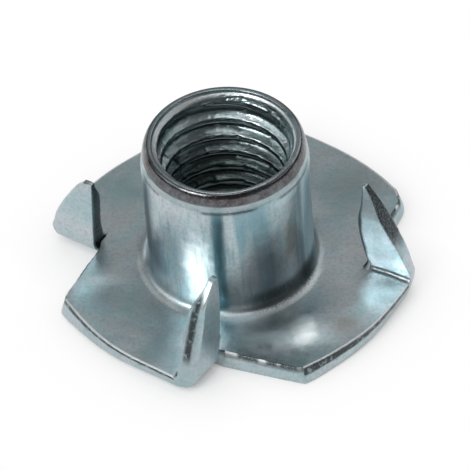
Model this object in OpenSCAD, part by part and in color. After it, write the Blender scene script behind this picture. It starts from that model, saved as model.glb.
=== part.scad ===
// Four-prong tee nut, pressed in one piece from sheet steel.
//
// The barrel is drawn up out of the middle of a flat blank and threaded inside. Each prong is a
// tab that is slit free of the blank's rim on one side and folded up square on the other, so
// every prong leaves a notch of its own outline beside it. The four petals between the notches
// are the flange that bears on the wood.
//
// Millimetres. The origin is on the barrel's axis, at the flange's underside, and +Z runs up the
// barrel, towards the rim.

/* [Barrel] */
// Overall height, from the flange's underside to the barrel's rim
overall_h = 10.6; // [9:0.1:14]
// Outside diameter of the drawn barrel
barrel_d = 10; // [9.6:0.1:11]
// Radius of the rounded shoulder under the rim
shoulder_r = 1.2; // [0.8:0.1:1.6]
// Width of the flat lip between the lead-in chamfer and the shoulder
lip_w = 0.22; // [0.1:0.02:0.3]
// Radius of the fillet where the barrel meets the flange
foot_r = 0.5; // [0.2:0.1:0.9]

/* [Bore] */
// Diameter across the thread's crests
bore_d = 6.65; // [6:0.05:7]
// Diameter of the lead-in chamfer where it meets the lip
mouth_d = 8.56; // [8:0.02:8.7]
// Depth of the lead-in chamfer
mouth_depth = 0.95; // [0.5:0.05:1.5]
// Radius of the drawn throat on the underside
throat_r = 1.2; // [0.6:0.1:1.3]

/* [Flange] */
// Thickness of the sheet
plate_t = 1.1; // [0.9:0.05:1.4]
// Width of the flange across the middles of two opposite petals
flange_w = 21.5; // [20.5:0.1:23]
// Radius of each petal's outer edge, flatter than a full circle
petal_edge_r = 16.4; // [13:0.2:20]
// Radius that blanking rolls on the lower edges
edge_roll_r = 0.35; // [0.1:0.05:0.5]

/* [Prongs] */
// Height of the prongs' points above the flange's underside
prong_h = 6.9; // [5:0.1:8.5]
// Angle of the rim that each prong is cut from, in degrees
prong_span = 37.3; // [34:0.1:42]
// How far in from the petals' outermost points each slit's inner end lies
slit_depth = 2.7; // [2.35:0.05:3.1]
// Angle from a prong's centreline back to the slit's inner end, in degrees
slit_root_angle = 12.4; // [10:0.1:14]
// Radius inside the fold, where the prong leaves the flange
fold_r = 0.3; // [0.15:0.05:0.6]
// Radius of the prong's long outer edge
prong_edge_r = 15; // [12:1:60]
// Height over which that edge rises straight from the fold before it leans in
prong_rise = 0.3; // [0.2:0.1:1.2]
// Width of the blunt point, along the fold
point_w = 0.4; // [0.2:0.05:0.8]
// How far the point leans towards the barrel, past the slit's inner end
point_lean = 0.25; // [0:0.05:0.6]
// How far the point's bevel runs down the prong's inner face
point_bevel = 0.8; // [0.3:0.1:1.2]
// Thickness of the point above its bevel
point_t = 0.3; // [0.2:0.05:0.5]

/* [Hidden] */
$fn = 96;

zinc = [0.62, 0.68, 0.71];
// Prongs, and petals between them
prong_count = 4;
// Overshoot of a cutter past the face that it cuts
over = 1;
// Angle by which a petal's sector reaches past the neighbour's slit before that slit is cut
slit_spare = 1;
// Reach of a cutter that runs out past the rim
reach = 2 * petal_edge_r;

barrel_r = barrel_d / 2;
bore_r = bore_d / 2;
mouth_r = mouth_d / 2;
lip_r = mouth_r + lip_w;
prong_step = 360 / prong_count;

// Petal edges: each is an arc about a centre that lies past the axis, on the far side
petal_centre = petal_edge_r - flange_w / 2;
function rim_radius(a) =
    sqrt(pow(petal_edge_r, 2) - pow(petal_centre * sin(a), 2)) - petal_centre * cos(a);
function polar(r, a) = [r * cos(a), r * sin(a)];

// One prong, with its centreline on +X: the slit runs from slit_root to slit_end on the rim, and
// the fold runs from slit_root to fold_end
rim_corner_r = rim_radius((prong_step - prong_span) / 2);
slit_root_r = flange_w / 2 - slit_depth;
slit_root = polar(slit_root_r, -slit_root_angle);
slit_end = polar(rim_corner_r, prong_span / 2);
fold_end = polar(rim_corner_r, -prong_span / 2);
fold_dir = fold_end - slit_root;
fold_angle = atan2(fold_dir.y, fold_dir.x);

// The fold's own frame: x along the fold, out from the slit, and y square to it, to the notch
function in_fold(p) =
    let (d = p - slit_root)
    [d.x * cos(fold_angle) + d.y * sin(fold_angle),
     d.y * cos(fold_angle) - d.x * sin(fold_angle)];
// Rounded to whole micrometres, so that faces that meet agree to the last digit
function micron(p) = [for (v = p) round(v * 1000) / 1000];
slit_end_f = in_fold(slit_end);
petal_centre_f = micron(in_fold(polar(-petal_centre, -prong_step / 2)));
neighbour_root_f = in_fold(polar(slit_root_r, -prong_step - slit_root_angle));

// A petal's edge starts past the neighbour's slit, curves about petal_centre_f until it runs
// square to the fold, and goes on straight to the bend
to_neighbour = neighbour_root_f - petal_centre_f;
petal_turn = slit_spare - atan2(to_neighbour.y, to_neighbour.x);
straight_w = -fold_r - petal_centre_f.y;
fold_w = petal_centre_f.x + petal_edge_r;
fold_top = plate_t + fold_r;

// The prong's outline in its upright plane: x along the fold, y up. Its outer edge rises square
// from the fold to edge_foot, and then curves in to the point
edge_foot = [fold_w, fold_top + prong_rise];
point_in = [-point_lean, prong_h];
point_out = [point_w - point_lean, prong_h];
bevel_slope = point_bevel / (plate_t - point_t);
edge_chord = point_out - edge_foot;
edge_centre = (edge_foot + point_out) / 2 + [-edge_chord.y, edge_chord.x]
    * sqrt(pow(prong_edge_r / norm(edge_chord), 2) - 1 / 4);

module around() {
    for (i = [0 : prong_count - 1])
        rotate([0, 0, i * prong_step])
            children();
}

// A w by h section whose corner at [w, h] is rounded to radius r
module rolled_section(w, h, r) {
    difference() {
        square([w, h]);
        difference() {
            translate([w - r, h - r]) square(r + over);
            translate([w - r, h - r]) circle(r);
        }
    }
}

// Half section of the barrel: wall, shoulder, lip, lead-in, foot fillet and throat
module barrel_section() {
    shoulder_x = barrel_r - shoulder_r;
    shoulder_y = overall_h - sqrt(pow(shoulder_r, 2) - pow(lip_r - shoulder_x, 2));
    difference() {
        union() {
            square([barrel_r, overall_h]);
            square([barrel_r + foot_r, plate_t + foot_r]);
        }
        translate([-over, -over]) square([bore_r + over, overall_h + 2 * over]);
        // lead-in chamfer
        polygon([
            [bore_r - over, overall_h - mouth_depth],
            [bore_r, overall_h - mouth_depth],
            [mouth_r, overall_h],
            [mouth_r, overall_h + over],
            [bore_r - over, overall_h + over]
        ]);
        // shoulder
        difference() {
            translate([shoulder_x, shoulder_y]) square(shoulder_r + over);
            translate([shoulder_x, shoulder_y]) circle(shoulder_r);
        }
        // foot fillet
        translate([barrel_r + foot_r, plate_t + foot_r]) circle(foot_r);
        // throat
        difference() {
            translate([bore_r - over, -over]) square(throat_r + over);
            translate([bore_r + throat_r, throat_r]) circle(throat_r);
        }
    }
}

// Section through the sheet, w long, with the edge that blanking rolls at its far lower corner
module sheet_section(w) {
    translate([0, plate_t]) mirror([0, 1]) rolled_section(w, plate_t, edge_roll_r);
}

module at_fold() {
    translate([slit_root.x, slit_root.y, 0])
        rotate([0, 0, fold_angle])
            children();
}

// One petal, in the frame of the fold beside it: a sector about its edge's own centre, and then
// the straight end of the edge, up to the bend
module petal() {
    translate([petal_centre_f.x, petal_centre_f.y, 0]) {
        mirror([0, 1, 0])
            rotate_extrude(angle = petal_turn)
                sheet_section(petal_edge_r);
        mirror([0, 1, 0])
            rotate([90, 0, 0])
                linear_extrude(straight_w)
                    sheet_section(petal_edge_r);
    }
}

// What one prong takes out of the flange, from its fold to its slit
module notch_cut() {
    slit_start = [0, plate_t];
    far_end = slit_start + 2 * (slit_end_f - slit_start);
    at_fold()
        translate([0, 0, -over])
            linear_extrude(plate_t + 2 * over)
                polygon([
                    [0, -fold_r],
                    slit_start,
                    far_end,
                    [reach, far_end.y],
                    [reach, -fold_r]
                ]);
}

// The quarter bend between the flange and the prong
module prong_bend() {
    translate([0, -fold_r, fold_top])
        rotate([0, 90, 0])
            rotate_extrude(angle = 90)
                difference() {
                    rolled_section(fold_top, fold_w, edge_roll_r);
                    translate([-over, -over]) square([fold_r + over, fold_w + 2 * over]);
                }
}

// The upright part of the prong: what the folded strip, the slit's straight edge, the curved edge
// and the point's bevel hold in common
module prong_blade() {
    intersection() {
        translate([0, 0, fold_top])
            linear_extrude(prong_h - fold_top)
                translate([-point_lean - over, 0])
                    rolled_section(fold_w + point_lean + over, plate_t, edge_roll_r);
        translate([0, plate_t, 0])
            rotate([90, 0, 0])
                linear_extrude(plate_t)
                    polygon([
                        [0, fold_top],
                        point_in,
                        [reach, prong_h],
                        [reach, fold_top]
                    ]);
        translate([edge_centre.x, plate_t, edge_centre.y])
            rotate([90, 0, 0])
                rotate_extrude()
                    sheet_section(prong_edge_r);
        // below the point's bevel, which slopes down from point_t to the inner face
        translate([-reach, 0, 0])
            rotate([90, 0, 90])
                linear_extrude(2 * reach)
                    polygon([
                        [-over, 0],
                        [-over, prong_h - point_bevel - over * bevel_slope],
                        [plate_t - point_t + over, prong_h + over * bevel_slope],
                        [reach, prong_h + over * bevel_slope],
                        [reach, 0]
                    ]);
    }
}

module tee_nut() {
    color(zinc) {
        difference() {
            union() {
                cylinder(r = slit_root_r, h = plate_t);
                around() at_fold() petal();
            }
            around() notch_cut();
            translate([0, 0, -over]) cylinder(r = barrel_r, h = plate_t + 2 * over);
        }
        rotate_extrude() barrel_section();
        around()
            at_fold() {
                prong_bend();
                prong_blade();
            }
    }
}

tee_nut();
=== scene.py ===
# %% [markdown]
# # A four-prong tee nut in blue-white zinc
#
# The part is one piece of steel. A press draws the barrel up out of a flat blank, slits four tabs
# at its rim and folds them up as prongs, and a tap cuts the thread. We make it in the same order:
# a sheet with two faces and a wall round its whole edge, folded by a formula, and a barrel turned
# from a profile and sewn to the sheet. Everything is in metres, in the CAD's own frame.

# %% Load the CAD as a fixed frame
import math
import bpy
import bmesh
import numpy as np
from mathutils import Matrix, Vector, noise


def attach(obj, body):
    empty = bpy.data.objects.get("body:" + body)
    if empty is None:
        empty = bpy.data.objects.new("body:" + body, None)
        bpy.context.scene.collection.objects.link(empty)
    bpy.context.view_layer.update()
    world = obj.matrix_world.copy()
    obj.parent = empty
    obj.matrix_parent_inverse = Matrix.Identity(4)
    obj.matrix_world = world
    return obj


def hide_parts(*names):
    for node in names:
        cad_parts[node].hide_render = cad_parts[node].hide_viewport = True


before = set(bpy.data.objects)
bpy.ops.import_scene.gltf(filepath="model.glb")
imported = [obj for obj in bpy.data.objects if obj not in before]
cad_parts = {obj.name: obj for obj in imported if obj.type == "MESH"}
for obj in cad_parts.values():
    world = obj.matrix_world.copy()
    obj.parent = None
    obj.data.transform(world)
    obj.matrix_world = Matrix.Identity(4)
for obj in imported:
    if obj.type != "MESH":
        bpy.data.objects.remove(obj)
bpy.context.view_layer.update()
MM = 0.001

# %% [markdown]
# ## The sizes
#
# We work in millimetres until the mesh is done. The blank is laid out for a prong whose middle
# points along +X and is used four times, a quarter turn apart. A petal's edge is flatter than a
# full circle: its centre lies past the axis, on the far side.

# %% Sizes of the blank
SHEET = 1.1                      # thickness
RIM_ARC, FLANGE = 16.4, 21.5     # radius of a petal's edge, width over two petals
SPAN = 37.3                      # degrees of rim that a prong is cut from
FOLD_R = 0.3                     # radius inside the fold
SLIT_IN, SLIT_BACK = 8.05, 12.4  # radius and angle of the slit's inner end
HEIGHT = 10.6
SHIFT = np.array([0.15, 0.15])   # the flange sits a little off the barrel's axis


def polar(r, a):
    return np.array([r * math.cos(math.radians(a)), r * math.sin(math.radians(a))])


def turned(p, a):
    c, s = math.cos(math.radians(a)), math.sin(math.radians(a))
    return np.array([p[0] * c - p[1] * s, p[0] * s + p[1] * c])


arc_back = RIM_ARC - FLANGE / 2
half = math.radians(45 - SPAN / 2)
corner_r = math.sqrt(RIM_ARC ** 2 - (arc_back * math.sin(half)) ** 2) - arc_back * math.cos(half)
ROOT = polar(SLIT_IN, -SLIT_BACK)
SLIT_END = polar(corner_r, SPAN / 2)
FOLD_END = polar(corner_r, -SPAN / 2)
PETAL_MID = polar(-arc_back, 45)        # centre of the next petal's edge
print(f"rim corners at radius {corner_r:.3f} mm")

# %% [markdown]
# ## Four quarters, none quite alike
#
# Slitting tears the last bit of each tab, so no two prongs come out the same. Each quarter keeps
# the blank's layout and moves some of it by a few tenths of a millimetre: `root`, `fold` and
# `slit` move the slit's inner end, the fold's outer end and the slit's outer end. `tip_h` and
# `tip_w` are the height and width of the prong's point, and `lean` is how far it leans inward.
# `base` and `belly` bend the slit side near the fold and halfway up, and `hook` swells the curved
# side below the point. `round` is how much of the petal's corner is worn off. `turn`, the
# quarter's place round the axis, and `bend`, the angle of its fold, are in degrees.

# %% What differs from quarter to quarter
QUARTERS = [
    dict(name="right", turn=0, root=(0.0, 0.05), fold=(0.0, 0.35), slit=(0.05, 0.55),
         tip_h=7.0, tip_w=0.22, lean=-0.38, base=0.30, belly=-0.30, hook=0.0,
         bend=90.0, round=0.10),
    dict(name="back", turn=90, root=(0.0, 0.0), fold=(0.0, 0.0), slit=(0.0, 0.0),
         tip_h=6.4, tip_w=0.4, lean=-0.2, base=0.1, belly=-0.05, hook=0.0,
         bend=90.0, round=0.95),
    dict(name="left", turn=180, root=(0.0, 0.0), fold=(0.15, 0.0), slit=(0.0, -0.05),
         tip_h=6.25, tip_w=0.60, lean=-0.15, base=0.02, belly=0.0, hook=0.0,
         bend=90.5, round=0.2),
    dict(name="front", turn=270, root=(0.0, 0.0), fold=(-0.2, 0.1), slit=(-0.35, 0.49),
         tip_h=7.25, tip_w=0.45, lean=-0.35, base=0.30, belly=0.02, hook=0.26,
         bend=90.5, round=0.3),
]
for k, q in enumerate(QUARTERS):
    q["k"], q["A"], q["C"], q["E"] = k, ROOT + q["root"], FOLD_END + q["fold"], SLIT_END + q["slit"]
    d = q["C"] - q["A"]
    q["w"] = float(np.hypot(*d))
    q["u"] = d / q["w"]
    q["n"] = np.array([-q["u"][1], q["u"][0]])
    q["top"] = q["tip_h"] - SHEET - FOLD_R
    q["arc"] = (FOLD_R + SHEET / 2) * math.radians(q["bend"])
    print(q["name"], "fold", round(q["w"], 2), "mm wide")


def ease(t):
    t = min(max(t, 0.0), 1.0)
    return t * t * (3 - 2 * t)


def mix(a, b, t):
    return a + (b - a) * ease(t)


# %% The two sides of a prong
FLARE = 0.42            # height over which a prong's slit side flares out to the fold
SIDE_CURVE = 0.36       # how far the curved side stands out from a straight line
HOOK_AT, HOOK_REACH = 0.80, 0.14


def slit_side(q, w):
    """Place along the fold of a prong's slit edge, at height w over the bend."""
    f = w / q["top"]
    belly = q["belly"] * math.sin(math.pi * min(f * 1.3, 1))
    return q["base"] * math.exp(-w / FLARE) + q["lean"] * ease(f * 1.2) + belly


def rim_side(q, w):
    """The same for the prong's curved outer edge."""
    f = w / q["top"]
    start, tip = q["w"] - 0.02, q["lean"] + q["tip_w"]
    curve = SIDE_CURVE * 4 * f * (1 - f) * (0.55 + 0.5 * f)
    swell = q["hook"] * math.exp(-((f - HOOK_AT) / HOOK_REACH) ** 2)
    return start + (tip - start) * f + curve + swell


for q in QUARTERS:
    print(q["name"], "prong", round(rim_side(q, 0) - slit_side(q, 0), 2), "mm wide at the bend")


# %% [markdown]
# ## The outline of the blank
#
# The outline is one closed line. In each quarter it runs along a petal's edge, up the prong's
# curved side to the point, down its slit side to the root, and along the torn face of the notch to
# the next petal. `v` is how far up a tab the point lies, measured along the middle of the sheet.

# %% The outline, quarter by quarter
N_RIM, N_BEND, N_BLADE, N_TAB, N_SIDE, N_CUT = 60, 10, 34, 16, 6, 58


def bezier3(p0, p1, p2, p3, t):
    return (1 - t) ** 3 * p0 + 3 * (1 - t) ** 2 * t * p1 + 3 * (1 - t) * t * t * p2 + t ** 3 * p3


def bezier2(p0, p1, p2, t):
    return (1 - t) ** 2 * p0 + 2 * (1 - t) * t * p1 + t * t * p2


def unit(v):
    return v / np.hypot(*v)


def petal_corner(q):
    """Where q's notch meets the next petal: the corner, the way in and the way out."""
    rim = q["E"] - PETAL_MID
    return q["E"], unit(q["E"] - q["A"] - q["n"] * SHEET), unit(np.array([-rim[1], rim[0]]))


def worn_corner(corner, come, leave, back, s):
    """A point of the worn corner, s mm past the sharp one that it replaces."""
    return bezier2(corner - come * back, corner, corner + leave * back, (s + back) / (2 * back))


def quarter_outline(q):
    """The outline's points from the petal before the notch to the petal after it."""
    before, after = QUARTERS[q["k"] - 1], QUARTERS[(q["k"] + 1) % 4]
    pts = []

    def put(part, p, f, v=0.0, s=9.0):
        pts.append(dict(part=part, p=p, f=f, v=v, s=s, q=q))

    corner, come, leave = (turned(x, -90) for x in petal_corner(before))
    end = q["C"] - q["n"] * FOLD_R
    length = float(np.hypot(*(end - corner)))
    pull, back = length * 0.35, q["round"]
    for i in range(N_RIM + 1):
        t = i / N_RIM
        p, s = bezier3(corner, corner + leave * pull, end - q["n"] * pull, end, t), t * length
        if s < back:
            p = worn_corner(corner, come, leave, back, s)
        put("rim", p, t, s=s)
    rows = [(q["arc"] * i / N_BEND, 0.0) for i in range(1, N_BEND + 1)]
    shares = [(i / N_BLADE) ** 0.9 for i in range(1, N_BLADE + 1)]
    rows += [(q["arc"] + q["top"] * g, q["top"] * g) for g in shares]
    at = lambda u, v: q["A"] + q["u"] * u + q["n"] * (v - FOLD_R)
    for v, w in rows:
        put("tab_rim", at(rim_side(q, w), v), w / q["top"], v)
    v, w = rows[-1]
    for j in range(1, N_TAB):
        g = j / N_TAB
        lift = 0.04 * math.sin(math.pi * g)
        put("tip", at(rim_side(q, w) * (1 - g) + slit_side(q, w) * g, v + lift), 1.0, v + lift)
    for v, w in rows[::-1]:
        put("tab_slit", at(slit_side(q, w) + 0.015, v), w / q["top"], v)
    put("root", at(0.0, 0.0), 0.0)
    for i in range(1, N_SIDE + 1):
        g = i / N_SIDE
        put("side", at(-0.015, (SHEET + FOLD_R) * g), g)
    corner, come, leave = petal_corner(q)
    start = q["A"] + q["n"] * SHEET
    cut, back = float(np.hypot(*(corner - start))), after["round"]
    for i in range(1, N_CUT):
        f = i / N_CUT
        p, s = start + (corner - start) * f, (1 - f) * cut
        if s < back:
            p = worn_corner(corner, come, leave, back, -s)
        put("cut", p, f, s=s)
    return pts


outline = [o for q in QUARTERS for o in quarter_outline(q)]
count = len(outline)
print(count, "points round the blank")

# %% [markdown]
# ## The shape of the sheared edge
#
# Blanking leaves its mark on the sheet's edge. The lower corner is rolled over, the middle is
# smooth or torn, and the upper corner ends in a thin burr. Each outline point gets a profile from
# the upper face to the lower one: how far it is set in, and at what share of the thickness.

# %% Edge profiles and outward directions
ARC_UP, ARC_MID, ARC_DOWN = 3, 7, 4
K = ARC_UP + ARC_MID + ARC_DOWN      # the wall's last row
SLIDE = 0.8                          # how far from a corner points still slide


def edge_shape(o):
    """Upper radius, lower radius, set-in of the upper side, set-in of the lower side, roughness."""
    part, f = o["part"], o["f"]
    if part == "rim":
        set_in = mix(0.34, 0.0, f / 0.7), mix(0.0, 0.22, (f - 0.45) / 0.5)
        return 0.10, mix(0.12, 0.36, f / 0.3), *set_in, 0.012
    if part == "tab_rim":
        low = mix(0.36, 0.08, (f - 0.2) / 0.8)
        rough = mix(0.012, 0.03, f / 0.3) * mix(1, 0.2, f * 2 - 1)
        return mix(0.05, 0.06, f), low, 0.0, mix(0.22, 0.0, f / 0.3), rough
    if part == "tip":
        return 0.06, 0.06, 0.0, 0.0, 0.004
    if part == "tab_slit":
        high = mix(0.10, 0.34, f / 0.25) - 0.28 * ease((f - 0.55) / 0.45)
        return high, 0.05, 0.0, 0.0, 0.02 * mix(1, 0.2, f * 2 - 1)
    if part in ("root", "side"):
        return 0.06, 0.06, mix(0.0, 0.32, f * 2 - 1) if part == "side" else 0.0, 0.0, 0.02
    return 0.05, 0.10, 0.32 - 0.12 * f + 0.16 * ease(1 - o["s"] / 0.7), 0.0, 0.035


for b, o in enumerate(outline):
    before, after = outline[b - 1], outline[(b + 1) % count]
    e1 = o["p"] - turned(before["p"], before["q"]["turn"] - o["q"]["turn"])
    e2 = turned(after["p"], after["q"]["turn"] - o["q"]["turn"]) - o["p"]
    m = (unit(np.array([e1[1], -e1[0]])) + unit(np.array([e2[1], -e2[0]]))) / 2
    o["out"] = m / max(0.55, float(m @ m))
    if o["part"] == "root":
        o["out"] = o["q"]["n"]
# round a sharp corner, points slide towards the mitre, so that the rows of the wall never cross
for b, o in enumerate(outline):
    if o["s"] < SLIDE:
        near = b if o["part"] == "rim" else (b + N_CUT) % count
        while outline[near]["s"] > 0 or outline[near]["part"] != "rim":
            near = (near - 1) % count
        mitre = turned(outline[near]["out"], outline[near]["q"]["turn"] - o["q"]["turn"])
        o["out"] = mitre + (o["out"] - mitre) * o["s"] / SLIDE
for o in outline:
    top_r, low_r, upper, lower, o["rough"] = edge_shape(o)
    steps = [math.pi / 2 * i / ARC_UP for i in range(ARC_UP + 1)]
    wall = [(top_r * (1 - math.sin(a)), SHEET - top_r * (1 - math.cos(a))) for a in steps]
    high = SHEET - top_r
    wall += [(0.0, high - (high - low_r) * i / ARC_MID) for i in range(1, ARC_MID)]
    steps = [math.pi / 2 * i / ARC_DOWN for i in range(ARC_DOWN + 1)]
    wall += [(low_r * (1 - math.cos(a)), low_r * (1 - math.sin(a))) for a in steps]
    o["wall"] = [(d + upper * z / SHEET + lower * (1 - z / SHEET) ** 1.5, z / SHEET)
                 for d, z in wall]
print("wall profile:", K + 1, "rows")

# %% [markdown]
# ## Folding
#
# A point of the sheet is a place on the blank and a share of the thickness. On the flange only its
# height matters. On a tab it is carried round the bend: the upper face takes the small radius, the
# lower one the large radius, and past the bend the tab runs on straight and thins to its point.
# The petals are not quite flat: the slitting punch drags their corners, and we give them that too.

# %% The fold as a formula
# Pressed places that tilt towards the front: x, y, reach and slope
TILTED = [(3.95, -7.25, 2.0, 0.175), (1.7, -7.0, 2.0, 0.055),
          (-8.3, -1.9, 1.2, 0.12), (9.2, -3.3, 0.9, 0.16)]
# Raised places beside each notch: angle from the prong's middle, half width in degrees, height
RAISED = [(24, 14, 0.10), (-24, 12, 0.05)]
POINT_THIN, THIN_FROM = 0.66, 0.62     # share of the thickness lost at the point, and from where


def petal_relief(x, y):
    """Height of the pressed flange over a true plane, in mm."""
    r, a = math.hypot(x, y), math.degrees(math.atan2(y, x))
    h = 0.0
    for turn in (0, 90, 180, 270):
        for mid, wide, high in RAISED:
            off = (a - turn - mid + 180) % 360 - 180
            h += high * math.exp(-(off / wide) ** 2) * ease((r - 7.0) / 4.0)
    for px, py, reach, slope in TILTED:
        h += slope * (y - py) * math.exp(-((x - px) ** 2 + (y - py) ** 2) / reach ** 2)
    h += 0.012 * noise.noise(Vector((x * 0.55, y * 0.55, 3.1)))
    h += 0.003 * noise.noise(Vector((x * 1.1, y * 1.1, 7.7)))
    return h * ease((r - 6.3) / 1.2)


def place(p, s, q, tab):
    """Blank point p and thickness share s (1 is the upper face) to a point of the part."""
    if tab:
        d = p - q["A"]
        u, v = float(d @ q["u"]), float(d @ q["n"]) + FOLD_R
        g = min(max((v - q["arc"]) / q["top"], 0), 1)
        s = 0.08 + (s - 0.08) * (1 - POINT_THIN * ease((g - THIN_FROM) / (1 - THIN_FROM)))
        bend = math.radians(q["bend"])
        rho = FOLD_R + (1 - s) * SHEET
        a = min(v / q["arc"], 1) * bend
        extra = max(v - q["arc"], 0)
        n = -FOLD_R + rho * math.sin(a) + extra * math.cos(a)
        z = SHEET + FOLD_R - rho * math.cos(a) + extra * math.sin(a)
        flat = q["A"] + q["u"] * u - q["n"] * FOLD_R
        p = q["A"] + q["u"] * u + q["n"] * n
    else:
        z, flat = s * SHEET, p
    x, y = turned(p, q["turn"]) + SHIFT
    return [x, y, max(0.0, z + petal_relief(*turned(flat, q["turn"])))]


for q in QUARTERS:
    tab_end = q["A"] + q["n"] * (q["arc"] + q["top"] - FOLD_R)
    print(q["name"], "prong", round(place(tab_end, 1.0, q, True)[2], 2), "mm high")

# %% [markdown]
# ## Masks along the edge
#
# A sheared edge isn't one finish: part of it is torn and grainy, and a dark line runs under its
# upper corner. A painted highlight runs along the burr on that corner, with painted glints on the
# cuts.
# Painting that on afterwards would need an image, so each point takes its own shares of torn metal,
# dark line and painted highlight along as it is made.

# %% The lists of the mesh, and the masks of a point
verts, faces, tags = [], [], []


def add(point, torn=0.0, dark=0.0, shine=0.0):
    """Put a point into the mesh with its masks; the last mask, the bead, is set later."""
    verts.append(point)
    tags.append((torn, dark, shine, 0.0))
    return len(verts) - 1


def bell(x, low, high, soft):
    """1 between low and high, 0 outside, with soft sides."""
    return ease((x - low) / soft) * ease((high - x) / soft)


def torn_share(o, s):
    """How torn the edge is at outline point o and thickness share s."""
    part, f, name = o["part"], o["f"], o["q"]["name"]
    if part in ("cut", "side", "root"):
        return ease((s - 0.60) / 0.2) * (1.0 if part == "cut" else 0.7)
    if part == "tab_slit":
        return bell(s, 0.05, 1.02, 0.15)
    if part == "tab_rim" and name == "right":
        return bell(s, -0.1, 1.1, 0.1) * ease((f - 0.25) / 0.25)
    return 0.0


def edge_lines(o, s, r):
    """Shares of the dark line under the upper edge and of the painted highlight on that edge."""
    spot, right_prong = o["p"] * 1.7, o["q"]["name"] == "right"
    patchy = 0.5 + 0.5 * noise.noise(Vector((spot[0], spot[1], 5.0 + o["q"]["turn"])))
    if o["part"] == "rim":
        low, strong = (mix(0.58, 0.80, o["f"]), 1.8) if right_prong else (0.80, 1.0)
        dark = min(1.0, strong * bell(s, low - 0.12 * patchy, 1.005, 0.07))
        return dark, max(0.0, 1.0 - 0.4 * r)
    if o["part"] == "tab_rim" and not right_prong:
        return bell(s, 0.26, 0.86, 0.15) * bell(o["f"], 0.10, 0.97, 0.15), 0.0
    if o["part"] == "cut":
        return 0.0, ease((patchy - 0.45) / 0.2) * bell(s, 0.80, 1.1, 0.08)
    return 0.0, 0.0


# %% Build the wall
for o in outline:
    tab = o["part"] in ("tab_rim", "tip", "tab_slit")
    o["ids"] = []
    for r, (d, s) in enumerate(o["wall"]):
        p = o["p"] - o["out"] * d
        if 0 < r < K:
            key = Vector((p[0] * 2.6 + o["q"]["turn"], p[1] * 2.6, s * 3.2))
            grain = noise.noise(key) + 0.6 * noise.noise(key * 2.7)
            share = ease((s - 0.25) / 0.3) if o["part"] == "cut" else 1.0
            p = p + o["out"] * o["rough"] * grain * share
        # the dark line, and the painted highlight along the edge
        dark, shine = edge_lines(o, s, r)
        o["ids"].append(add(place(p, s, o["q"], tab), torn_share(o, s), dark, shine))
for b in range(count):
    a, c = outline[b]["ids"], outline[(b + 1) % count]["ids"]
    faces += [(a[r], a[r + 1], c[r + 1], c[r]) for r in range(K)]
print("wall:", len(verts), "points")

# %% [markdown]
# ## The two faces of the sheet
#
# On the flange, straight rows run out from a ring round the barrel's foot to the outline and to
# the folds. On a prong, a grid lies between its two sides and starts on the points where the
# flange's rows end, so the whole sheet is one surface with no seam.

# %% Faces of the flange and of the prongs
R_IN, N_ROWS = 6.6, 18     # radius of the ring at the barrel, rows from there to the edge
CREASE_SHADE = 0.75              # how dark the painted shade inside the fold is


def part_of(q, name):
    return [o for o in outline if o["q"] is q and o["part"] == name]


def sheet_face(row, s):
    """One face of the sheet; row is the wall row it starts from. Returns the ring at the barrel."""
    edge_point = lambda o: o["p"] - o["out"] * o["wall"][row][0]
    grid = []
    for q in QUARTERS:
        rim_end, root = part_of(q, "rim")[-1], part_of(q, "root")[0]
        p0, p1 = edge_point(rim_end), edge_point(root)
        across = [p0 + (p1 - p0) * j / N_TAB for j in range(1, N_TAB)]
        fold_ids = [add(place(p, s, q, False)) for p in across]
        ends = [(edge_point(o), o["ids"][row]) for o in part_of(q, "rim")]
        ends += list(zip(across, fold_ids))
        for name in ("root", "side", "cut"):
            ends += [(edge_point(o), o["ids"][row]) for o in part_of(q, name)]
        c = turned(SHIFT, -q["turn"])
        for end, last in ends:
            start = unit(end + c) * R_IN - c
            steps = [1 - (1 - i / N_ROWS) ** 1.5 for i in range(N_ROWS)]
            column = [add(place(start + (end - start) * g, s, q, False)) for g in steps]
            grid.append(column + [last])

        below = [rim_end["ids"][row]] + fold_ids + [root["ids"][row]]
        left, right, tip = part_of(q, "tab_rim"), part_of(q, "tab_slit")[::-1], part_of(q, "tip")
        for a, b in zip(left, right):
            p0, p1 = edge_point(a), edge_point(b)
            if a is left[-1]:
                middle = [o["ids"][row] for o in tip]
            else:
                v = float((p0 - q["A"]) @ q["n"]) + FOLD_R
                # painted shade inside the bend, on the upper face only
                crease_shade = CREASE_SHADE * bell(v / q["arc"], 0.0, 1.0, 0.3) if s == 1.0 else 0.0
                row_points = [p0 + (p1 - p0) * j / N_TAB for j in range(1, N_TAB)]
                middle = [add(place(p, s, q, True), dark=crease_shade) for p in row_points]
            line = [a["ids"][row]] + middle + [b["ids"][row]]
            faces.extend((below[j], line[j], line[j + 1], below[j + 1]) for j in range(N_TAB))
            below = line
    for a, b in zip(grid, grid[1:] + grid[:1]):
        faces.extend((a[i], a[i + 1], b[i + 1], b[i]) for i in range(N_ROWS))
    return [column[0] for column in grid]


upper_ring = sheet_face(0, 1.0)
lower_ring = sheet_face(K, 0.0)
print("sheet:", len(verts), "points,", len(faces), "faces")

# %% [markdown]
# ## The barrel
#
# A drawn barrel is a turned shape: a half section swept round the axis. The section runs up from
# the flange's upper face over the foot fillet and the wall, round the beaded rim, down the lead-in
# and the bore, and out through the throat to the lower face.

# %% Curves for the half section
def arc(cx, cz, r, a0, a1, n):
    steps = [math.radians(a0 + (a1 - a0) * i / n) for i in range(n + 1)]
    return [(cx + r * math.cos(a), cz + r * math.sin(a)) for a in steps]


def smooth_line(points, n):
    """A curve through the given points, n steps to a span."""
    p = [np.array(x) for x in points]
    p = [p[0] * 2 - p[1]] + p + [p[-1] * 2 - p[-2]]
    out = []
    for a, b, c, d in zip(p, p[1:], p[2:], p[3:]):
        bend, twist = 2 * a - 5 * b + 4 * c - d, 3 * b - a - 3 * c + d
        for t in (i / n for i in range(n)):
            out.append(0.5 * (2 * b + (c - a) * t + bend * t ** 2 + twist * t ** 3))
    return [tuple(x) for x in out] + [tuple(p[-2])]


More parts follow.
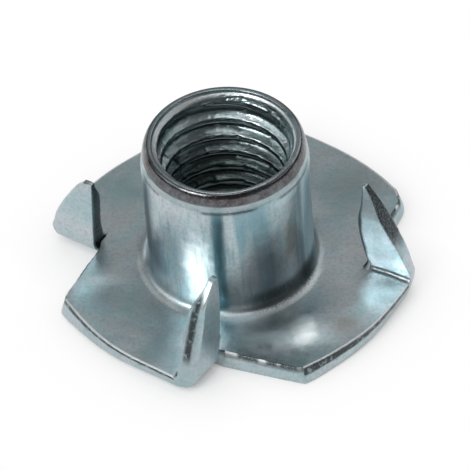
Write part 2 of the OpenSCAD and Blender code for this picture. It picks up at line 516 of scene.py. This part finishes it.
# %% Half section of the barrel
BARREL_R, BORE_R, THROAT = 5.0, 3.325, 1.2
WALL_FROM, WALL_TO = 1.95, 9.1   # heights where the foot's curve ends and the rim's begins
N_WALL, WAIST = 12, 0.02         # rows up the wall, and how far it draws in at half height
FOOT = [(6.25, SHEET), (5.95, 1.106), (5.7, 1.125), (5.5, 1.165), (5.33, 1.23), (5.20, 1.325),
        (5.11, 1.44), (5.05, 1.58), (5.012, 1.75), (BARREL_R, WALL_FROM)]
CHAMFER = [(4.24, 10.40), (4.18, 10.35), (4.11, 10.30), (4.03, 10.25)]
RIM = [(BARREL_R, WALL_TO), (4.975, 9.3), (4.92, 9.46), (4.885, 9.6), (4.872, 9.76),
       (4.85, 9.92), (4.815, 10.08), (4.775, 10.22), (4.725, 10.35), (4.66, 10.47),
       (4.58, 10.555), (4.50, 10.59), (4.44, HEIGHT), (4.36, HEIGHT), (4.30, 10.58),
       (4.265, 10.51), CHAMFER[0]]
LEAD_END = (BORE_R, 9.87)
TOP_ZONE = 4.4                   # the upper threads show, so their rows are closer
N_LEAD, N_TOP, N_DEEP, N_ROUND = 10, 84, 42, 256

profile = smooth_line(FOOT, 2)
for i in range(1, N_WALL):
    up = i / N_WALL
    waist = WAIST * math.sin(math.pi * up)
    profile.append((BARREL_R - waist, WALL_FROM + (WALL_TO - WALL_FROM) * up))
profile += smooth_line(RIM, 3)
bore_from = len(profile)
profile += CHAMFER[1:]
(xa, za), (xb, zb) = CHAMFER[-1], LEAD_END
for i in range(1, N_LEAD + 1):
    profile.append((xa + (xb - xa) * i / N_LEAD, za + (zb - za) * i / N_LEAD))
profile += [(BORE_R, zb - TOP_ZONE * i / N_TOP) for i in range(1, N_TOP + 1)]
deep_from = zb - TOP_ZONE
profile += [(BORE_R, deep_from + (THROAT - deep_from) * i / N_DEEP) for i in range(1, N_DEEP)]
bore_to = len(profile)
profile += arc(BORE_R + THROAT, THROAT, THROAT, 180, 270, 10)
profile += [(x, 0.0) for x in (4.8, 5.2, 5.7, 6.1, 6.3)]
profile = [(x, min(z, HEIGHT)) for x, z in profile]     # a curve may swing past its points
print("half section:", len(profile), "points")

# %% Sweep it round the axis
SEAM = (9.2, 9.42, 0.09)         # heights and softness of the dark line under the rim
COLLAR = (9.36, 9.80, 0.08)      # and of the duller band over it
BEAD_FROM = 9.74

turns = [2 * math.pi * j / N_ROUND for j in range(N_ROUND)]
loops = [[add([x * math.cos(a), x * math.sin(a), z]) for a in turns] for x, z in profile]
bore_ids = [i for loop in loops[bore_from:bore_to] for i in loop]
for loop, (x, z) in zip(loops, profile):
    outside, chamfer = x > 4.5, x < 4.26 and z > 10.2
    bead = ease((z - BEAD_FROM) / 0.12) * mix(0.45, 1.0, (x - 4.5) / 0.1) if x > 4.28 else 0.0
    for i, a in zip(loop, turns):
        lap = noise.noise(Vector((3 * math.cos(a), 3 * math.sin(a), 1.7)))
        seam = 0.8 * bell(z, *SEAM) * ease((lap + 0.1) / 0.3) + 0.22 * bell(z, *COLLAR)
        # the lead-in chamfer takes a share of painted highlight, to look pale
        tags[i] = (0.0, seam if outside else 0.0, 0.45 if chamfer else 0.0, bead)
for a, c in zip(loops, loops[1:]):
    faces += [(a[j - 1], c[j - 1], c[j], a[j]) for j in range(N_ROUND)]
print("barrel:", len(loops), "rings of", N_ROUND, "points")


# %% Sew the barrel to the sheet
def sew(outer, inner):
    """Triangles between two rings with different numbers of points."""
    angle = lambda i: math.atan2(verts[i][1], verts[i][0])
    outer, inner = sorted(outer, key=angle), sorted(inner, key=angle)
    at_o = [angle(x) for x in outer] + [angle(outer[0]) + 2 * math.pi]
    at_i = [angle(x) for x in inner] + [angle(inner[0]) + 2 * math.pi]
    no, ni, i, j = len(outer), len(inner), 0, 0
    while i < no or j < ni:
        if j >= ni or (i < no and at_o[i + 1] <= at_i[j + 1]):
            faces.append((outer[i % no], outer[(i + 1) % no], inner[j % ni]))
            i += 1
        else:
            faces.append((outer[i % no], inner[(j + 1) % ni], inner[j % ni]))
            j += 1


sew(upper_ring, loops[0])
sew(lower_ring, loops[-1])
print("all:", len(verts), "points,", len(faces), "faces")

# %% [markdown]
# ## One closed mesh
#
# The points and faces so far are plain lists in millimetres. They become one mesh in metres, and
# each point takes its masks along: how torn the metal is, where the dark lines of the sheared edge
# and the painted shade in the folds run, where the painted highlights lie, where the bead and the
# bore are. The plating reads them later. A pressed part has no openings in its skin, so every edge
# must have exactly two faces: we count the ones that don't, and turn all faces outward.

# %% Put the mesh together and check that it is closed
mesh = bpy.data.meshes.new("tee_nut_pressing")
mesh.from_pydata([[c * MM for c in v] for v in verts], [], faces)
mesh.update()
masks = dict(zip(("torn", "dark", "shine", "bead"), np.array(tags, np.float32).T))
masks["bore"] = np.zeros(len(verts), np.float32)
masks["bore"][bore_ids] = 1.0
for name, values in masks.items():
    layer = mesh.attributes.new(name, "FLOAT", "POINT")
    layer.data.foreach_set("value", np.ascontiguousarray(values))
bm = bmesh.new()
bm.from_mesh(mesh)
bmesh.ops.recalc_face_normals(bm, faces=bm.faces[:])
loose = sum(1 for e in bm.edges if len(e.link_faces) != 2)
volume = bm.calc_volume(signed=True)
if volume < 0:
    bmesh.ops.reverse_faces(bm, faces=bm.faces[:])
bm.to_mesh(mesh)
bm.free()
mesh.shade_smooth()
nut = bpy.data.objects.new("tee_nut_pressing", mesh)
bpy.context.scene.collection.objects.link(nut)
print(f"open edges {loose}, volume {abs(volume) * 1e9:.1f} mm3")

# %% [markdown]
# ## Node trees by script
#
# The thread, the plating and the floor are node trees. Wiring nodes by hand takes four lines a
# node, so a small class gives each kind that we use often one short call, which takes sockets or
# plain numbers and returns the socket with the result.

# %% Short calls for nodes
class Tree:
    """A node tree to wire by short calls."""

    def __init__(self, tree):
        self.nodes, self.links = tree.nodes, tree.links

    def put(self, socket, value):
        if isinstance(value, bpy.types.NodeSocket):
            self.links.new(value, socket)
        else:
            socket.default_value = value

    def calc(self, op, *values, clamp=False):
        n = self.nodes.new("ShaderNodeMath")
        n.operation, n.use_clamp = op, clamp
        for socket, value in zip(n.inputs, values):
            self.put(socket, value)
        return n.outputs[0]

    def plus(self, first, *others):
        for value in others:
            first = self.calc("ADD", first, value)
        return first

    def times(self, first, *others):
        for value in others:
            first = self.calc("MULTIPLY", first, value)
        return first

    def minus(self, a, b):
        return self.calc("SUBTRACT", a, b)

    def over(self, a, b, clamp=False):
        return self.calc("DIVIDE", a, b, clamp=clamp)

    def split(self, vector):
        n = self.nodes.new("ShaderNodeSeparateXYZ")
        self.put(n.inputs[0], vector)
        return n.outputs

    def vec(self, *values):
        n = self.nodes.new("ShaderNodeCombineXYZ")
        for socket, value in zip(n.inputs, values):
            self.put(socket, value)
        return n.outputs[0]

    def noise(self, place, scale, detail=3.0, rough=0.5, bend=0.0):
        n = self.nodes.new("ShaderNodeTexNoise")
        self.put(n.inputs["Vector"], place)
        values = {"Scale": scale, "Detail": detail, "Roughness": rough, "Distortion": bend}
        for name, value in values.items():
            n.inputs[name].default_value = value
        return n.outputs["Fac"]


# %% [markdown]
# ## The thread
#
# A tap cuts one helical groove, the same at every turn, so its shape is a rule: the depth depends
# only on height and angle. Geometry Nodes moves the bore's points outward by that rule. Towards
# the mouth the crests are lower, because the drawn wall flares there, and towards the throat the
# groove runs out. Where the lead-in is already wider than the groove, the point stays.

# %% The thread's form over one turn
THREAD_FORM = [(0.0, 0.0), (0.05, 0.30), (0.11, 0.52), (0.19, 0.80), (0.28, 0.96), (0.38, 1.0),
               (0.50, 1.0), (0.62, 0.70), (0.76, 0.10), (0.83, 0.0), (0.90, 0.02), (0.935, 0.10),
               (0.97, 0.0), (1.0, 0.0)]
THREAD_SIZES = [   # in mm
    ("Pitch", 1.25), ("Crest radius", 3.55), ("Root radius", 4.12), ("Mouth radius", 3.94),
    ("Mouth height", 9.95), ("Flare height", 2.6), ("Run-out height", 1.9), ("Tearing", 0.5)]
THREAD_START = 0.235   # share of a turn by which the groove is turned round the axis


# %% The groove's form as a curve node
def form_curve(t, value):
    """Depth of the groove, as a share of the full depth, at a share of the pitch."""
    n = t.nodes.new("ShaderNodeFloatCurve")
    curve = n.mapping.curves[0]
    curve.points[0].location, curve.points[-1].location = THREAD_FORM[0], THREAD_FORM[-1]
    for point in THREAD_FORM[1:-1]:
        curve.points.new(*point)
    n.mapping.update()
    t.put(n.inputs["Value"], value)
    return n.outputs[0]


# %% How far out the tap cuts
TORN_OVER = 0.57        # the metal is torn where a noise is over this


def cut_radius(t, given, position, turn, z):
    """Distance of the cut surface from the axis, at a turn round it and a height."""
    crest_r, root_r, mouth_r = (given[n] for n in ("Crest radius", "Root radius", "Mouth radius"))
    rise = t.minus(t.over(z, given["Pitch"]), turn)
    form = form_curve(t, t.calc("FRACT", t.plus(rise, given["Turn"])))
    half_run = t.times(given["Run-out height"], 0.5)
    run = t.over(t.minus(z, half_run), half_run, clamp=True)
    below = t.over(t.minus(given["Mouth height"], z), given["Flare height"], clamp=True)
    flare = t.times(t.minus(mouth_r, crest_r), t.calc("POWER", t.minus(1.0, below), 1.5))
    crest = t.plus(crest_r, flare)
    groove = t.times(form, run, t.minus(root_r, crest))
    torn = t.calc("SUBTRACT", t.noise(position, 2.6 / MM), TORN_OVER, clamp=True)
    return t.plus(crest, groove, t.times(torn, given["Tearing"]))


# %% Build the thread's node tree
def thread_tree():
    """A tree that moves the points of the bore out to the thread's groove."""
    group = bpy.data.node_groups.new("cut_thread", "GeometryNodeTree")
    ask = group.interface.new_socket
    ask("Geometry", in_out="INPUT", socket_type="NodeSocketGeometry")
    for name, size in THREAD_SIZES:
        ask(name, in_out="INPUT", socket_type="NodeSocketFloat").default_value = size * MM
    ask("Turn", in_out="INPUT", socket_type="NodeSocketFloat").default_value = 0.0
    ask("Material", in_out="INPUT", socket_type="NodeSocketMaterial")
    ask("Geometry", in_out="OUTPUT", socket_type="NodeSocketGeometry")
    t = Tree(group)
    given, result = t.nodes.new("NodeGroupInput").outputs, t.nodes.new("NodeGroupOutput")

    position = t.nodes.new("GeometryNodeInputPosition").outputs[0]
    x, y, z = t.split(position)
    radius = t.calc("SQRT", t.plus(t.times(x, x), t.times(y, y)))
    turn = t.over(t.calc("ARCTAN2", y, x), 2 * math.pi)
    cut = cut_radius(t, given, position, turn, z)
    scale = t.over(t.calc("MAXIMUM", cut, radius), radius)

    bore = t.nodes.new("GeometryNodeInputNamedAttribute")
    bore.data_type = "FLOAT"
    bore.inputs["Name"].default_value = "bore"
    move, real, paint = (t.nodes.new("GeometryNode" + kind)
                         for kind in ("SetPosition", "RealizeInstances", "SetMaterial"))
    t.put(move.inputs["Geometry"], given["Geometry"])
    t.put(move.inputs["Selection"], t.calc("GREATER_THAN", bore.outputs["Attribute"], 0.5))
    t.put(move.inputs["Position"], t.vec(t.times(x, scale), t.times(y, scale), z))
    t.put(real.inputs[0], move.outputs[0])
    t.put(paint.inputs[0], real.outputs[0])
    t.put(paint.inputs["Material"], given["Material"])
    t.put(result.inputs[0], paint.outputs[0])
    return group


thread = thread_tree()
print("thread tree:", len(thread.nodes), "nodes")

# %% [markdown]
# ## The zinc plate
#
# Blue-white zinc is a thin, bright coat on steel. It is a metal, so its colour is the colour of its
# reflections: a cool grey that clouds into teal, lilac and straw where the passivation is thicker.
# Drawing leaves upright streaks on the barrel, and the torn faces stay dark and grainy. The bead at
# the rim is rubbed to a brown bloom and painted darker still, for the dark that it reflects. Light
# and shade are painted on as well: dark reflections as streaks and clouds on the barrel, a white
# highlight for the hot spot low on its front, light and dark reflections round its foot, pale
# highlights on the front-right petal, bright lines along the sheared edges and on the lead-in, and
# shade in the folds, in the thread's grooves and down the bore. All of it is made from noise on
# Object coordinates and from the masks that we put on the mesh, so it looks the same from every
# side.

# %% Short calls for a material's nodes
class Shader(Tree):
    """A material's tree."""

    def __init__(self, name):
        self.material = bpy.data.materials.new(name)
        self.material.use_nodes = True
        super().__init__(self.material.node_tree)
        self.bsdf = self.nodes["Principled BSDF"]

    def band(self, value, low, high, to_min=0.0, to_max=1.0):
        """to_min below low, to_max over high, and a smooth step between them."""
        n = self.nodes.new("ShaderNodeMapRange")
        n.interpolation_type = "SMOOTHSTEP"
        for socket, x in zip(n.inputs, (value, low, high, to_min, to_max)):
            self.put(socket, x)
        return n.outputs[0]

    def ramp(self, value, stops):
        n = self.nodes.new("ShaderNodeValToRGB")
        self.put(n.inputs[0], value)
        ramp = n.color_ramp
        while len(ramp.elements) < len(stops):
            ramp.elements.new(0.5)
        for e, (at, color) in zip(ramp.elements, stops):
            e.position, e.color = at, (*color, 1)
        return n.outputs["Color"]

    def blend(self, share, a, b):
        n = self.nodes.new("ShaderNodeMix")
        n.data_type = "RGBA"
        self.put(n.inputs[0], share)
        for socket, x in ((n.inputs[6], a), (n.inputs[7], b)):
            self.put(socket, x if isinstance(x, bpy.types.NodeSocket) else (*x, 1))
        return n.outputs[2]

    def distance(self, place, point):
        n = self.nodes.new("ShaderNodeVectorMath")
        n.operation = "DISTANCE"
        self.put(n.inputs[0], place)
        n.inputs[1].default_value = point
        return n.outputs["Value"]

    def mask(self, name):
        n = self.nodes.new("ShaderNodeAttribute")
        n.attribute_name = name
        return n.outputs["Fac"]


# %% What colour, gloss and relief all read
def survey(s):
    """Where a point lies on the part, in mm, and the noises that are used more than once."""
    to_mm = s.nodes.new("ShaderNodeVectorMath")
    to_mm.operation = "SCALE"
    to_mm.inputs[3].default_value = 1 / MM
    s.put(to_mm.inputs[0], s.nodes.new("ShaderNodeTexCoord").outputs["Object"])
    s.mm = to_mm.outputs[0]
    x, y, s.z = s.split(s.mm)
    s.radius = s.calc("SQRT", s.plus(s.times(x, x), s.times(y, y)))
    s.torn, s.dark, s.shine, s.bead, s.bore = (
        s.mask(name) for name in ("torn", "dark", "shine", "bead", "bore"))
    s.not_bore = s.minus(1.0, s.bore)
    s.wall = s.times(s.band(s.radius, 5.35, 5.05), s.band(s.z, 1.2, 1.7), s.not_bore,
                     s.band(s.z, 9.7, 9.2))
    s.flat = s.band(s.radius, 5.4, 5.7)
    # x and y drawn in to the wall: with little or no height they give upright streaks
    spread = s.over(BARREL_R, s.radius)
    s.wall_x, s.wall_y = s.times(x, spread), s.times(y, spread)
    round_barrel = s.vec(s.wall_x, s.wall_y, s.times(s.z, 0.10))
    s.broad_streak = s.noise(round_barrel, 0.55, 2.0, 0.5, 0.2)
    s.fine_streak = s.noise(round_barrel, 4.5, 3.0, 0.6)
    s.mottle = s.noise(s.mm, 0.9)
    s.speck = s.noise(s.mm, 9.0, 2.0)
    s.grain = s.noise(s.mm, 3.5, 4.0, 0.6)
    s.dirt = s.noise(s.mm, 4.5, 5.0, 0.7)
    # added to a distance, this makes a cloud's edge ragged
    s.ragged = s.times(s.minus(s.noise(s.mm, 0.8, 4.0, 0.6), 0.5), 1.6)


# %% Colours of the plating
# Tables of a noise value and the colour there
PLATE = [(0.28, (0.28, 0.39, 0.41)), (0.42, (0.37, 0.49, 0.51)), (0.52, (0.44, 0.55, 0.57)),
         (0.62, (0.51, 0.59, 0.61)), (0.74, (0.56, 0.61, 0.62))]
BLOOM = [(0.30, (0.30, 0.51, 0.56)), (0.46, (0.47, 0.57, 0.60)), (0.60, (0.54, 0.56, 0.61)),
         (0.74, (0.56, 0.54, 0.50))]
FINE_DIRT = (0.24, 0.31, 0.33)
# upright streaks from drawing, and the painted dark reflections on the barrel
STREAK_AND_DARK_REFLECTION = (0.13, 0.27, 0.33)
GROOVE_SHADE = (0.30, 0.38, 0.38)      # painted shade in the thread's grooves, darker towards their roots
BORE_SHADE = (0.05, 0.065, 0.066)    # painted shade, darker down in the bore
TORN_METAL = (0.08, 0.09, 0.095)
BARE_METAL_AND_DARK_REFLECTION = (0.086, 0.075, 0.079)   # the bead: zinc rubbed off, and painted dark besides for the dark that it reflects
# dark lines along the sheared edges and under the rim, and the painted shade inside the folds
DARK_LINE_AND_FOLD_SHADE = (0.05, 0.06, 0.065)
# painted highlight: bright lines on the sheared edges, glints on the cuts, the pale lead-in chamfer
HIGHLIGHT_WHITE = (0.95, 0.97, 0.98)
UPRIGHT = 0.45      # how much shorter a cloud on the barrel counts its height, so it grows upright
# Clouds on the barrel: two dark painted reflections, a brown tint and a white painted highlight for
# the hot spot; azimuth, height, size in mm, share, colour
BARREL_TINTS_AND_REFLECTIONS = [
    (-63, 4.1, 1.4, 0.6, (0.20, 0.23, 0.26)), (-148, 3.6, 0.8, 0.6, (0.17, 0.25, 0.32)),
    (-44, 5.8, 0.5, 0.6, (0.36, 0.28, 0.20)), (-112, 4.6, 1.1, 1.0, (0.97, 0.98, 0.98))]
# and on the flange: four tint clouds, then three pale painted highlights on the front-right petal;
# x, y, size, share, colour
FLANGE_TINTS_AND_HIGHLIGHTS = [
    (6.8, -6.3, 0.8, 0.5, (0.43, 0.40, 0.36)), (3.3, -6.1, 0.5, 0.5, (0.40, 0.36, 0.34)),
    (7.3, 4.9, 2.2, 0.5, (0.30, 0.37, 0.38)), (-6.5, 5.7, 1.6, 0.5, (0.28, 0.45, 0.47)),
    (2.0, -6.5, 1.9, 0.85, (0.72, 0.82, 0.84)), (4.1, -7.3, 0.8, 0.9, (0.90, 0.97, 0.98)),
    (4.2, -6.2, 0.8, 0.9, (0.88, 0.96, 0.98))]
# Upright dark streaks on the barrel, painted reflections of dark surroundings: azimuth, half width
# in degrees, share
DARK_REFLECTION_STREAKS = [(-96, 3.0, 0.85), (-163, 4.0, 0.7), (-18, 5.0, 0.6), (-30, 2.0, 0.5)]
# Painted reflections round the barrel's foot, one dark arc and two light ones: azimuth, half width,
# inner and outer radius, share, colour
FOOT_REFLECTION_ARCS = [(-47, 26, 4.9, 5.32, 0.85, (0.07, 0.08, 0.08)),
             (-47, 24, 5.42, 5.72, 0.8, (0.92, 0.95, 0.96)),
             (-150, 26, 5.42, 5.70, 0.7, (0.88, 0.92, 0.93))]


# %% Clouds and arcs at given places
def cloud(s, color, share, tint, gap, size, only):
    """Blend tint into color where gap, the distance from the cloud's middle, is small."""
    inside = s.band(s.plus(gap, s.ragged), 1.35 * size, 0.35 * size, 0.0, share)
    return s.blend(s.times(inside, only), color, tint)


def sector(s, azimuth, half, wide, narrow, share):
    """share within about half degrees of an azimuth, fading out from narrow to wide halves."""
    a = math.radians(azimuth)
    towards = s.plus(s.times(s.wall_x, math.cos(a) / BARREL_R),
                     s.times(s.wall_y, math.sin(a) / BARREL_R))
    low, high = (math.cos(math.radians(k * half)) for k in (wide, narrow))
    return s.band(towards, low, high, 0.0, share)


# %% The plating's colour
def plate_color(s):
    color = s.ramp(s.noise(s.mm, 0.22, 3.0, 0.5, 0.6), PLATE)
    color = s.blend(0.50, color, s.ramp(s.noise(s.mm, 0.42, 5.0, 0.6, 0.9), BLOOM))
    color = s.blend(s.band(s.dirt, 0.42, 0.66, 0.0, 0.40), color, FINE_DIRT)
    color = s.blend(s.times(s.wall, s.band(s.broad_streak, 0.56, 0.68, 0.0, 0.6)), color, STREAK_AND_DARK_REFLECTION)

    on_wall = s.vec(s.wall_x, s.wall_y, s.times(s.z, UPRIGHT))
    # painted dark reflections, a brown tint and the painted white hot-spot highlight on the barrel
    for azimuth, high, size, share, tint in BARREL_TINTS_AND_REFLECTIONS:
        middle = (*polar(BARREL_R, azimuth), high * UPRIGHT)
        color = cloud(s, color, share, tint, s.distance(on_wall, middle), size, s.wall)
    # dark streaks painted as reflections on the barrel
    for azimuth, half, share in DARK_REFLECTION_STREAKS:
        color = s.blend(s.times(sector(s, azimuth, half, 1.7, 0.5, share), s.wall), color, STREAK_AND_DARK_REFLECTION)
    # tint clouds, and pale painted highlights on the flange
    for x, y, size, share, tint in FLANGE_TINTS_AND_HIGHLIGHTS:
        color = cloud(s, color, share, tint, s.distance(s.mm, (x, y, SHEET)), size, s.flat)

    # painted reflections in the foot's fillet
    near_foot = s.plus(s.radius, s.times(s.minus(s.speck, 0.5), 0.35))
    low = s.times(s.band(s.z, 2.7, 2.0), s.band(s.z, 0.6, 0.95))
    for azimuth, half, r_in, r_out, share, tint in FOOT_REFLECTION_ARCS:
        across = s.times(s.band(near_foot, r_in - 0.1, r_in + 0.1),
                         s.band(near_foot, r_out + 0.1, r_out - 0.1))
        ends = sector(s, azimuth, half, 1.5, 0.7, share)
        color = s.blend(s.times(across, ends, low), color, tint)

    # the bead's dark share: partly rubbed bare metal, partly a painted dark reflection; small spots
    # of plating left in it stand in for glints
    worn = s.times(s.band(s.mottle, 0.75, 0.35, 0.80, 1.0), s.band(s.dirt, 0.62, 0.46, 0.82, 1.0))
    # painted shade in the grooves and down the bore, then the torn faces, the bead, the dark lines
    # with the painted fold shade, and the drawing streaks
    for mask, share, tint in (
            (s.bore, s.band(s.radius, 3.7, 4.1, 0.0, 0.6), GROOVE_SHADE),
            (s.bore, s.band(s.z, 9.3, 4.8, 0.15, 0.96), BORE_SHADE),
            (s.torn, s.band(s.speck, 0.64, 0.50, 0.6, 0.97), TORN_METAL),
            (s.bead, worn, BARE_METAL_AND_DARK_REFLECTION),
            (s.dark, s.band(s.grain, 0.66, 0.50, 0.5, 0.96), DARK_LINE_AND_FOLD_SHADE),
            (s.wall, s.band(s.fine_streak, 0.50, 0.68, 0.0, 0.35), STREAK_AND_DARK_REFLECTION)):
        color = s.blend(s.times(mask, share), color, tint)
    # the painted highlights go on last
    return s.blend(s.shine, color, HIGHLIGHT_WHITE)


# %% [markdown]
# ## Gloss and relief of the plate
#
# Gloss varies a little from place to place, as a pressed and handled surface does. The renderer's
# denoiser takes metal with a roughness under about 0.27 for a mirror, so the plate stays above
# that and the bead below it: a surface that crosses it comes out speckled. The relief is only what
# is too fine for the mesh: ripples, drawing lines, torn grain, and a small round punch mark beside
# the front prong.

# %% Gloss
def plate_gloss(s):
    wavy = s.band(s.noise(s.mm, 1.0, 2.0), 0.35, 0.65, 0.0, 0.08)
    foot = s.times(s.band(s.radius, 6.1, 5.5, 0.0, 0.14), s.band(s.z, 2.4, 1.5), s.not_bore)
    return s.plus(
        s.band(s.mottle, 0.3, 0.7, 0.28, 0.33),
        s.times(s.flat, wavy),
        s.times(foot, s.band(s.speck, 0.35, 0.6, 0.6, 1.0)),
        s.times(s.torn, s.band(s.speck, 0.4, 0.6, -0.04, 0.12)),
        s.times(s.bead, -0.085),
        s.times(s.shine, 0.25))


# %% Relief
BUTTON = (-1.15, -6.92, 1.25)       # middle of the punch mark, in mm


def plate_relief(s):
    """Height in mm."""
    ring = s.distance(s.mm, BUTTON)
    return s.plus(
        s.times(s.noise(s.mm, 1.6, 2.0), 0.014),
        s.times(s.mottle, 0.006),
        s.times(s.noise(s.mm, 4.0, 3.0, 0.6), 0.0055),
        s.times(s.wall, s.fine_streak, 0.008),
        s.times(s.torn, s.speck, 0.025),
        s.times(s.dark, s.grain, 0.03),
        s.times(s.bead, s.mottle, 0.02),
        s.times(s.bore, s.noise(s.mm, 5.0), 0.022),
        s.minus(s.band(ring, 0.46, 0.36, 0.0, 0.09), s.band(ring, 0.34, 0.22, 0.0, 0.10)))


# %% Put the plating together
zinc = Shader("blue_zinc")
survey(zinc)
zinc.bsdf.inputs["Metallic"].default_value = 1.0
zinc.put(zinc.bsdf.inputs["Base Color"], plate_color(zinc))
zinc.put(zinc.bsdf.inputs["Roughness"], plate_gloss(zinc))
bump = zinc.nodes.new("ShaderNodeBump")
bump.inputs["Distance"].default_value = MM
zinc.put(bump.inputs["Height"], plate_relief(zinc))
zinc.put(zinc.bsdf.inputs["Normal"], bump.outputs[0])
print("plating:", len(zinc.nodes), "nodes")

# %% Cut the thread and put the piece in place of the CAD part
mesh.materials.append(zinc.material)
cutter = nut.modifiers.new("thread", "NODES")
cutter.node_group = thread
ids = {s.name: s.identifier for s in thread.interface.items_tree if s.in_out == "INPUT"}
cutter[ids["Turn"]] = THREAD_START
cutter[ids["Material"]] = zinc.material
graph = bpy.context.evaluated_depsgraph_get()
baked = bpy.data.meshes.new_from_object(nut.evaluated_get(graph), depsgraph=graph)
nut.modifiers.clear()
nut.data = baked
baked.shade_smooth()
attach(nut, "root")
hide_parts("tee_nut")
print("triangles:", sum(len(p.vertices) - 2 for p in baked.polygons))

# %% [markdown]
# ## The studio
#
# The part lies on a pale floor under soft lamps. The floor is a plain matt surface for the light
# that falls on it. For the camera, and for rays that metal reflects or glass lets through, an even
# white takes its place where the floor lies open, and gives way to the matt floor where the part
# shades it. So the backdrop is white, the plating shows that same white, the part keeps its
# shadow, and no more light falls on it.

# %% Floor
FLOOR_HALF, SHADE_REACH, FLOOR_TINT = 1.5, 0.004, (0.9, 0.9, 0.9)
floor_mesh = bpy.data.meshes.new("floor")
w = FLOOR_HALF
floor_mesh.from_pydata([(-w, -w, 0), (w, -w, 0), (w, w, 0), (-w, w, 0)], [], [(0, 1, 2, 3)])
floor = bpy.data.objects.new("floor", floor_mesh)
bpy.context.scene.collection.objects.link(floor)


def floor_material():
    m = bpy.data.materials.new("pale_floor")
    m.use_nodes = True
    t = Tree(m.node_tree)
    t.nodes.clear()
    rays, matt, white, open_sky, mixer, out = (t.nodes.new("ShaderNode" + kind) for kind in (
        "LightPath", "BsdfDiffuse", "Emission", "AmbientOcclusion", "MixShader", "OutputMaterial"))
    matt.inputs["Color"].default_value = (*FLOOR_TINT, 1)
    white.inputs["Strength"].default_value = 1.0
    open_sky.inputs["Distance"].default_value = SHADE_REACH
    seen = rays.outputs["Is Camera Ray"]
    for kind in ("Is Glossy Ray", "Is Transmission Ray"):
        seen = t.calc("ADD", seen, rays.outputs[kind], clamp=True)
    t.put(mixer.inputs[0], t.times(seen, open_sky.outputs["AO"]))
    t.put(mixer.inputs[1], matt.outputs[0])
    t.put(mixer.inputs[2], white.outputs[0])
    t.put(out.inputs[0], mixer.outputs[0])
    return m


floor_mesh.materials.append(floor_material())
print("floor:", 2 * FLOOR_HALF, "m square")

# %% [markdown]
# ## Lamps and camera
#
# Bright metal is drawn by what it reflects, so the lamps are panels all round, each named for the
# side it stands on. The strong one at the front left makes the hot spot low on the barrel, by way
# of the flange, and a painted white highlight on the barrel adds to it. The high ones pick out the
# bead and the tilted places of the petals, where painted pale highlights add to them. The camera
# looks down at 45 degrees through a long lens, with the part turned a little and slightly rolled.

# %% Lamps
WORLD_TINT, WORLD_LEVEL = (1.0, 1.0, 1.0), 0.12
LAMPS = [  # name, azimuth, elevation, distance, width, height, power
    ("front_left", -135, 38, 0.5, 0.24, 0.18, 1.25),
    ("left", 180, 38, 0.5, 0.26, 0.2, 0.30),
    ("low_left", 135, 12, 0.5, 0.26, 0.2, 0.2),
    ("back", 90, 38, 0.5, 0.26, 0.2, 0.05),
    ("high_back", 90, 67, 0.5, 0.2, 0.14, 0.21),
    ("back_right", 45, 38, 0.5, 0.26, 0.2, 0.2),
    ("right", 0, 38, 0.5, 0.26, 0.2, 0.12),
    ("high_front", -90, 72, 0.5, 0.2, 0.14, 0.32),
]
world = bpy.data.worlds.new("studio")
world.use_nodes = True
bpy.context.scene.world = world
sky = world.node_tree.nodes["Background"]
sky.inputs["Color"].default_value = (*WORLD_TINT, 1)
sky.inputs["Strength"].default_value = WORLD_LEVEL
for name, azimuth, elevation, far, wide, high, power in LAMPS:
    data = bpy.data.lights.new(name, "AREA")
    data.shape, data.size, data.size_y, data.energy = "RECTANGLE", wide, high, power
    lamp = bpy.data.objects.new(name, data)
    a, e = math.radians(azimuth), math.radians(elevation)
    side = Vector((math.cos(a) * math.cos(e), math.sin(a) * math.cos(e), math.sin(e)))
    lamp.location = side * far
    lamp.rotation_euler = (-lamp.location).to_track_quat("-Z", "Y").to_euler()
    bpy.context.scene.collection.objects.link(lamp)

print(len(LAMPS), "lamps,", round(sum(lamp[-1] for lamp in LAMPS), 2), "W in all")

# %% Camera
ELEV, AZ, ROLL, DIST = 45.147, 2.4, 4.155, 0.25    # degrees, degrees, degrees, metres
PICTURE, FOCAL = 470, 4193.2                       # picture width and focal length, in pixels
AIM_AT, AIM_PIXEL = (0, 0, 0.005), (228.397, 207.25)   # this point is seen at this pixel
cam = bpy.data.cameras.new("camera")
cam.sensor_width = 36.0
cam.lens = FOCAL / PICTURE * cam.sensor_width
cam.clip_start = 0.01
eye = bpy.data.objects.new("camera", cam)
bpy.context.scene.collection.objects.link(eye)
e, a, r = (math.radians(angle) for angle in (ELEV, AZ, ROLL))
back = Vector((math.sin(a) * math.cos(e), -math.cos(a) * math.cos(e), math.sin(e)))
right = Vector((math.cos(a), math.sin(a), 0))
up = back.cross(right)
right, up = right * math.cos(r) - up * math.sin(r), up * math.cos(r) + right * math.sin(r)
across, down = ((PICTURE / 2 - pixel) * DIST / FOCAL for pixel in AIM_PIXEL)
stand = Vector(AIM_AT) + right * across - up * down + back * DIST
eye.matrix_world = Matrix((
    (right.x, up.x, back.x, stand.x),
    (right.y, up.y, back.y, stand.y),
    (right.z, up.z, back.z, stand.z),
    (0, 0, 0, 1)))
bpy.context.scene.camera = eye
bpy.context.scene.view_settings.view_transform = "Standard"
print("the camera stands", round(stand.length, 3), "m from the origin")
